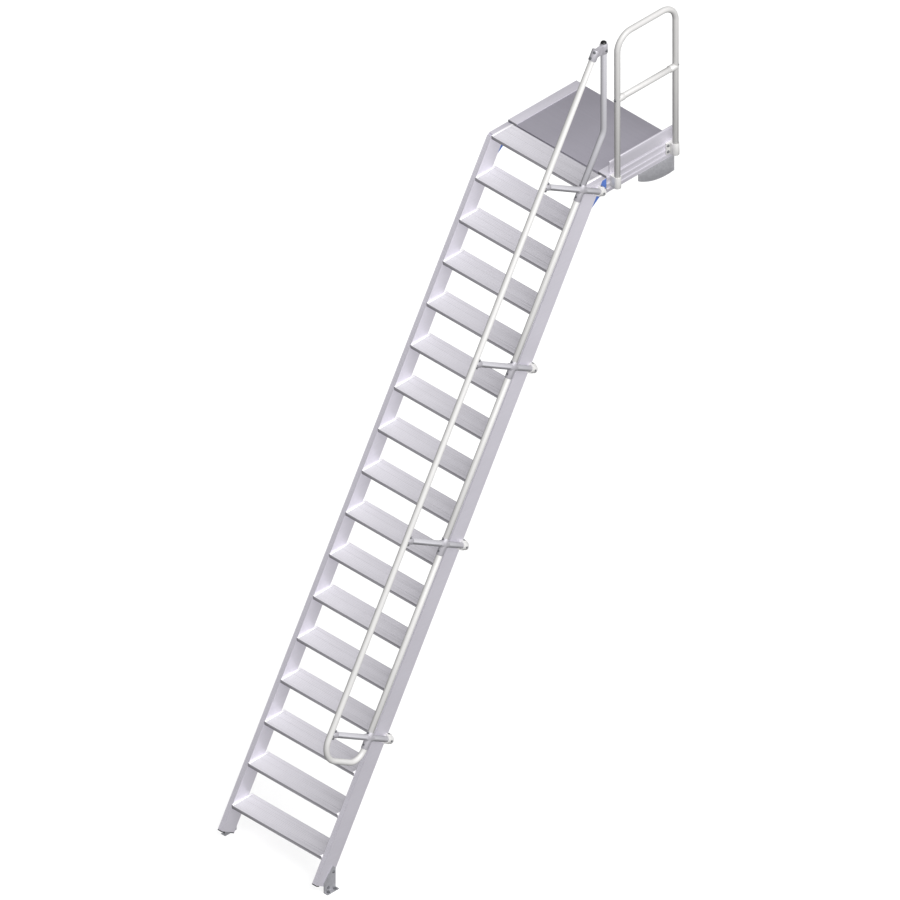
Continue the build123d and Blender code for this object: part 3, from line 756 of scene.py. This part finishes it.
class STAIR_OT_stage(StairOperator, bpy.types.Operator):
    """Set up the floor, the lights and the camera"""

    bl_idname = "stair.stage"
    bl_label = "Studio"

    def execute(self, context):
        scene = context.scene
        studio = scene.stair_studio
        self.floor(scene.stair_colours, studio)
        self.light("fill light", studio, studio.fill, False)
        self.light("key light", studio, studio.key, True)
        world = bpy.data.worlds.new("studio")
        world.use_nodes = True
        background = world.node_tree.nodes["Background"]
        background.inputs["Color"].default_value = (1, 1, 1, 1)
        background.inputs["Strength"].default_value = studio.surroundings
        scene.world = world
        scene.view_settings.view_transform = "Standard"
        scene.view_settings.look = "None"
        self.camera(scene, studio)
        return {"FINISHED"}

    def floor(self, colours, studio):
        """A large plain floor that only the camera sees, so that it throws no light up at the stair."""
        mesh = bmesh.new()
        bmesh.ops.create_grid(mesh, x_segments=1, y_segments=1, size=studio.floor_size / 2)
        bmesh.ops.translate(mesh, verts=mesh.verts, vec=(0, 0, CAD_BOX[0].z))
        data = bpy.data.meshes.new("floor")
        mesh.to_mesh(data)
        mesh.free()
        data.materials.append(painted_floor("Matt studio floor", colours.floor))
        floor = link(bpy.data.objects.new("floor", data))
        floor.visible_diffuse = False
        floor.visible_glossy = False
        floor.visible_shadow = False

    def light(self, name, studio, strength, with_shadow):
        """A broad sun from the studio's side."""
        data = bpy.data.lights.new(name, "SUN")
        data.energy = strength
        data.angle = studio.light_width
        data.use_shadow = with_shadow
        lamp = link(bpy.data.objects.new(name, data))
        lamp.rotation_euler = Vector(studio.light_from).to_track_quat("Z", "Y").to_euler()

    def camera(self, scene, studio):
        """The photograph's view, which has no perspective, so the camera only has to stand clear."""
        data = bpy.data.cameras.new("camera")
        data.type = "ORTHO"
        data.ortho_scale = studio.frame_width
        distance = studio.frame_width * 2
        flat = cos(studio.elevation)
        back = Vector((sin(studio.azimuth) * flat, -cos(studio.azimuth) * flat, sin(studio.elevation)))
        camera = link(bpy.data.objects.new("camera", data))
        camera.location = Vector(studio.aim) + back * distance
        camera.rotation_euler = back.to_track_quat("Z", "Y").to_euler()
        scene.camera = camera


OPERATORS = (
    STAIR_OT_treads,
    STAIR_OT_stringers,
    STAIR_OT_platform,
    STAIR_OT_brackets,
    STAIR_OT_rails,
    STAIR_OT_rail_fittings,
    STAIR_OT_plastic_pieces,
    STAIR_OT_stage,
)
GROUPS = {"stair_colours": StairColours, "stair_sizes": StairSizes, "stair_studio": StairStudio}


class STAIR_PT_panel(bpy.types.Panel):
    """Lists the stair's operators and its values."""

    bl_idname = "STAIR_PT_panel"
    bl_label = "Platform stair"
    bl_space_type = "VIEW_3D"
    bl_region_type = "UI"
    bl_category = "Platform stair"

    def draw(self, context):
        for operator in OPERATORS:
            self.layout.operator(operator.bl_idname)
        for group in GROUPS:
            values = getattr(context.scene, group)
            column = self.layout.column()
            for name in values.__annotations__:
                column.prop(values, name)


def register():
    for name, group in GROUPS.items():
        bpy.utils.register_class(group)
        setattr(bpy.types.Scene, name, PointerProperty(type=group))
    for kind in OPERATORS + (STAIR_PT_panel,):
        bpy.utils.register_class(kind)


def unregister():
    for kind in reversed(OPERATORS + (STAIR_PT_panel,)):
        bpy.utils.unregister_class(kind)
    for name, group in GROUPS.items():
        delattr(bpy.types.Scene, name)
        bpy.utils.unregister_class(group)


def main():
    register()
    for operator in OPERATORS:
        family, name = operator.bl_idname.split(".")
        getattr(getattr(bpy.ops, family), name)()
    bpy.context.view_layer.update()


if __name__ == "__main__":
    main()
